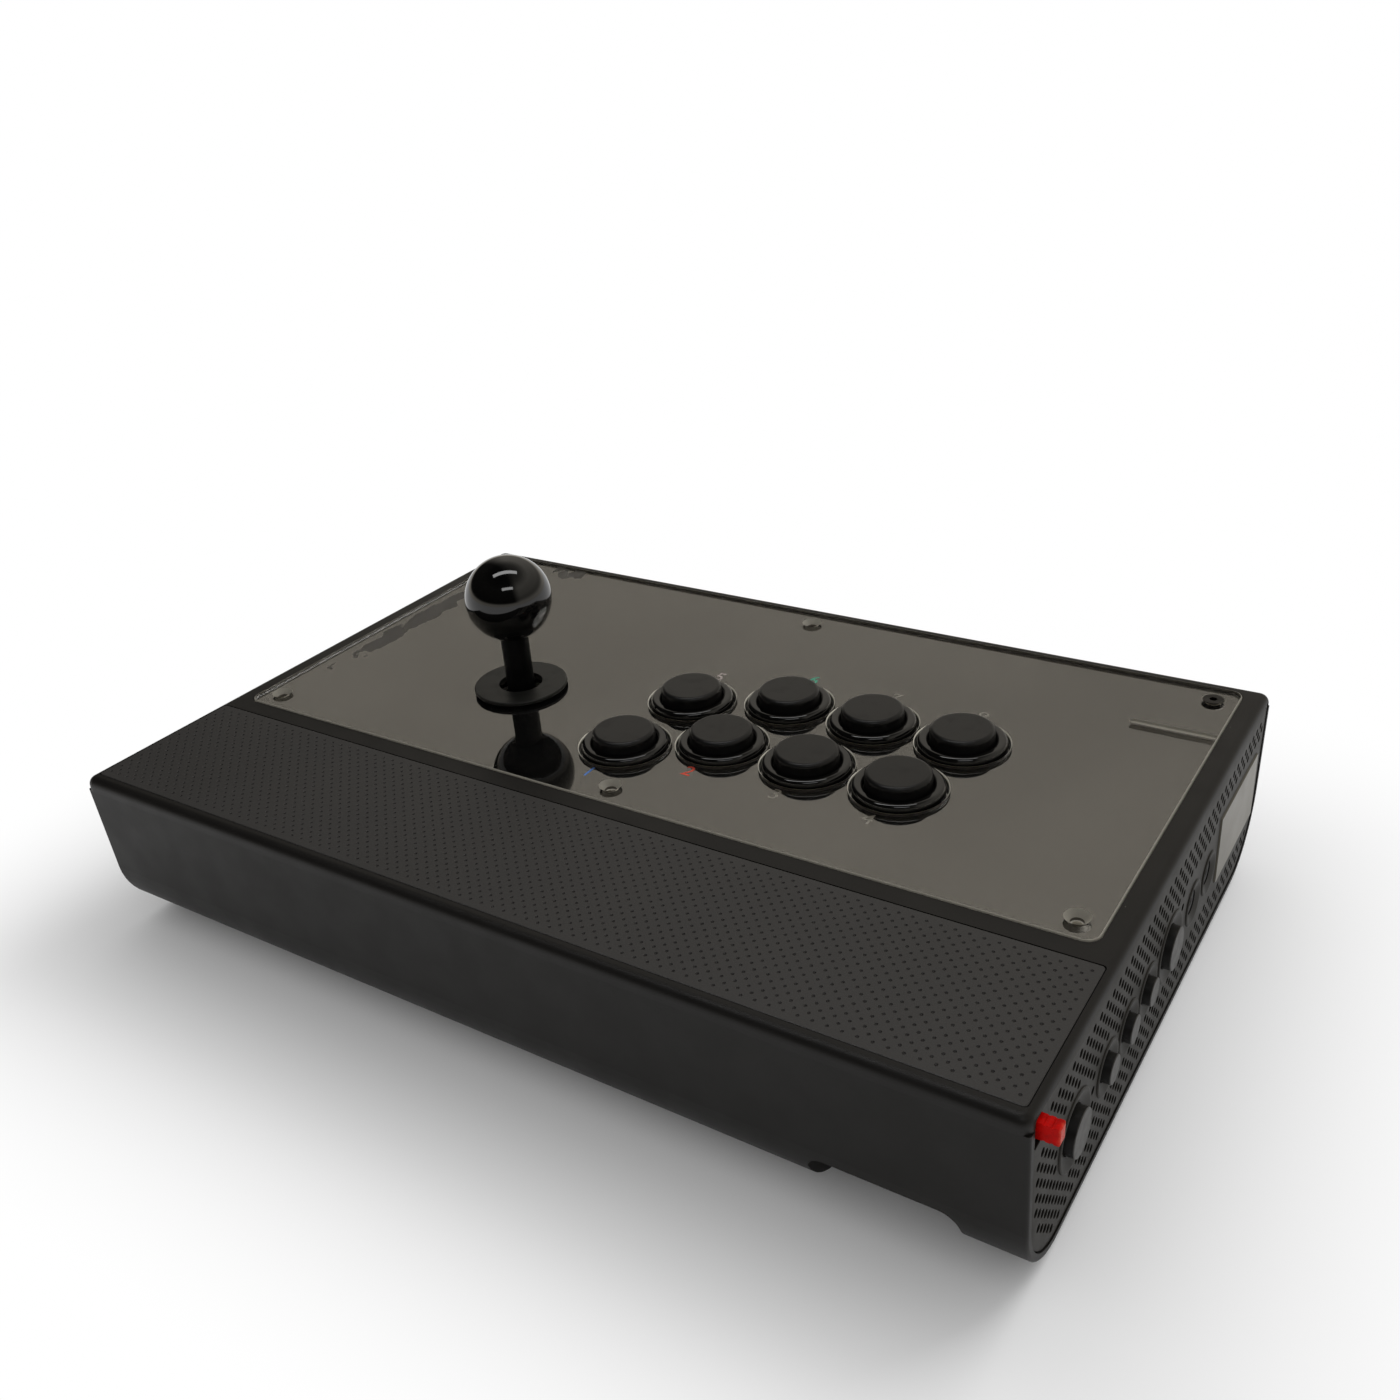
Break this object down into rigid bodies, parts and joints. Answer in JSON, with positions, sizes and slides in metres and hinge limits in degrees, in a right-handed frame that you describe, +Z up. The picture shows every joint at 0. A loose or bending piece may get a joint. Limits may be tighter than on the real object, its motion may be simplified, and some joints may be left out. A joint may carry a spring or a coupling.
{
  "type": "arcade stick",
  "caption": "Wide arcade stick with ball-top lever, push buttons, wrist inlay, perforated side panels and side controls.",
  "frame": {"origin": "under the middle of the whole part, on the surface that the feet stand on", "axes": "+X to the player's right, +Y to the rear, +Z up"},
  "size_m": [0.3858, 0.253, 0.1278],
  "materials": {
    "shell_black": "fine satin texture",
    "panel_grey": "fine satin texture",
    "acrylic": "clear polished plastic with a bevelled edge",
    "print_grey": "matt printed sheet, worn at the left edge",
    "leatherette": "matt black with small slanted dimples",
    "gloss_black": "gloss",
    "button_black": "satin",
    "knob_red": "satin red",
    "pad_grey": "smooth satin",
    "steel": "plain",
    "dark_steel": "black oxide",
    "rubber": "matt",
    "board": "circuit board",
    "switch_black": "moulded",
    "pivot_plastic": "moulded",
    "brass": "bright threaded"
  },
  "bodies": {
    "housing": {"acrylic_plate": "acrylic", "art_sheet": "print_grey", "base_screws": "dark_steel", "base_shell": "shell_black", "button_rim_1": "gloss_black", "button_rim_2": "gloss_black", "button_rim_3": "gloss_black", "button_rim_4": "gloss_black", "button_rim_5": "gloss_black", "button_rim_6": "gloss_black", "button_rim_7": "gloss_black", "button_rim_8": "gloss_black", "button_switches": "switch_black", "control_plate": "steel", "dust_washer": "button_black", "jack_board": "board", "jack_sockets": "switch_black", "left_panel": "panel_grey", "lever_body": "switch_black", "lever_bolts": "steel", "lever_gate": "switch_black", "lever_plate": "steel", "lever_spring": "steel", "lever_switches": "switch_black", "main_board": "board", "plate_inserts": "brass", "plate_screw": "dark_steel", "right_panel": "panel_grey", "rubber_feet": "rubber", "side_board": "board", "side_switches": "switch_black", "top_cover": "shell_black", "usb_inlet": "steel", "wrist_rest": "leatherette"},
    "lever_ring": {"pivot_ring": "pivot_plastic"},
    "lever": {"lever_ball": "gloss_black", "shaft_cover": "button_black", "lever_shaft": "steel", "pivot_pin": "steel", "lever_actuator": "pivot_plastic", "lever_clip": "steel"},
    "touch_pad": {"touch_pad": "pad_grey"},
    "lock_slider": {"lock_slider": "knob_red"},
    "button_1": {"button_plunger_1": "button_black"},
    "button_2": {"button_plunger_2": "button_black"},
    "button_3": {"button_plunger_3": "button_black"},
    "button_4": {"button_plunger_4": "button_black"},
    "button_5": {"button_plunger_5": "button_black"},
    "button_6": {"button_plunger_6": "button_black"},
    "button_7": {"button_plunger_7": "button_black"},
    "button_8": {"button_plunger_8": "button_black"},
    "side_button_large_1": {"side_button_large_1": "panel_grey"},
    "side_button_large_2": {"side_button_large_2": "panel_grey"},
    "side_button_small_1": {"side_button_small_1": "panel_grey"},
    "side_button_small_2": {"side_button_small_2": "panel_grey"},
    "side_button_small_3": {"side_button_small_3": "panel_grey"}
  },
  "joints": [
    {"name": "lever_fore_aft", "type": "hinge", "parent": "housing", "child": "lever_ring", "pos_m": [-0.08445, 0.008, 0.058], "axis": [1, 0, 0], "range_deg": [-8, 8], "stiffness_Nm_per_rad": 0.9, "deforming": ["lever_spring"]},
    {"name": "lever_side", "type": "hinge", "parent": "lever_ring", "child": "lever", "pos_m": [-0.08445, 0.008, 0.058], "axis": [0, 1, 0], "range_deg": [-8, 8], "stiffness_Nm_per_rad": 0.9, "deforming": ["lever_spring"]},
    {"name": "button_1_press", "type": "slide", "parent": "housing", "child": "button_1", "axis": [0, 0, -1], "range_m": [0, 0.003], "stiffness_N_per_m": 220, "springref_m": -0.002},
    {"name": "button_2_press", "type": "slide", "parent": "housing", "child": "button_2", "axis": [0, 0, -1], "range_m": [0, 0.003], "stiffness_N_per_m": 220, "springref_m": -0.002},
    {"name": "button_3_press", "type": "slide", "parent": "housing", "child": "button_3", "axis": [0, 0, -1], "range_m": [0, 0.003], "stiffness_N_per_m": 220, "springref_m": -0.002},
    {"name": "button_4_press", "type": "slide", "parent": "housing", "child": "button_4", "axis": [0, 0, -1], "range_m": [0, 0.003], "stiffness_N_per_m": 220, "springref_m": -0.002},
    {"name": "button_5_press", "type": "slide", "parent": "housing", "child": "button_5", "axis": [0, 0, -1], "range_m": [0, 0.003], "stiffness_N_per_m": 220, "springref_m": -0.002},
    {"name": "button_6_press", "type": "slide", "parent": "housing", "child": "button_6", "axis": [0, 0, -1], "range_m": [0, 0.003], "stiffness_N_per_m": 220, "springref_m": -0.002},
    {"name": "button_7_press", "type": "slide", "parent": "housing", "child": "button_7", "axis": [0, 0, -1], "range_m": [0, 0.003], "stiffness_N_per_m": 220, "springref_m": -0.002},
    {"name": "button_8_press", "type": "slide", "parent": "housing", "child": "button_8", "axis": [0, 0, -1], "range_m": [0, 0.003], "stiffness_N_per_m": 220, "springref_m": -0.002},
    {"name": "side_button_large_1_press", "type": "slide", "parent": "housing", "child": "side_button_large_1", "axis": [-1, 0, 0], "range_m": [0, 0.0008], "stiffness_N_per_m": 400, "springref_m": -0.001},
    {"name": "side_button_large_2_press", "type": "slide", "parent": "housing", "child": "side_button_large_2", "axis": [-1, 0, 0], "range_m": [0, 0.0008], "stiffness_N_per_m": 400, "springref_m": -0.001},
    {"name": "side_button_small_1_press", "type": "slide", "parent": "housing", "child": "side_button_small_1", "axis": [-1, 0, 0], "range_m": [0, 0.0008], "stiffness_N_per_m": 400, "springref_m": -0.001},
    {"name": "side_button_small_2_press", "type": "slide", "parent": "housing", "child": "side_button_small_2", "axis": [-1, 0, 0], "range_m": [0, 0.0008], "stiffness_N_per_m": 400, "springref_m": -0.001},
    {"name": "side_button_small_3_press", "type": "slide", "parent": "housing", "child": "side_button_small_3", "axis": [-1, 0, 0], "range_m": [0, 0.0008], "stiffness_N_per_m": 400, "springref_m": -0.001},
    {"name": "touch_pad_press", "type": "slide", "parent": "housing", "child": "touch_pad", "axis": [-1, 0, 0], "range_m": [0, 0.0005], "stiffness_N_per_m": 800, "springref_m": -0.001},
    {"name": "lock_slide", "type": "slide", "parent": "housing", "child": "lock_slider", "axis": [0, 0, -1], "range_m": [0, 0.004]}
  ]
}
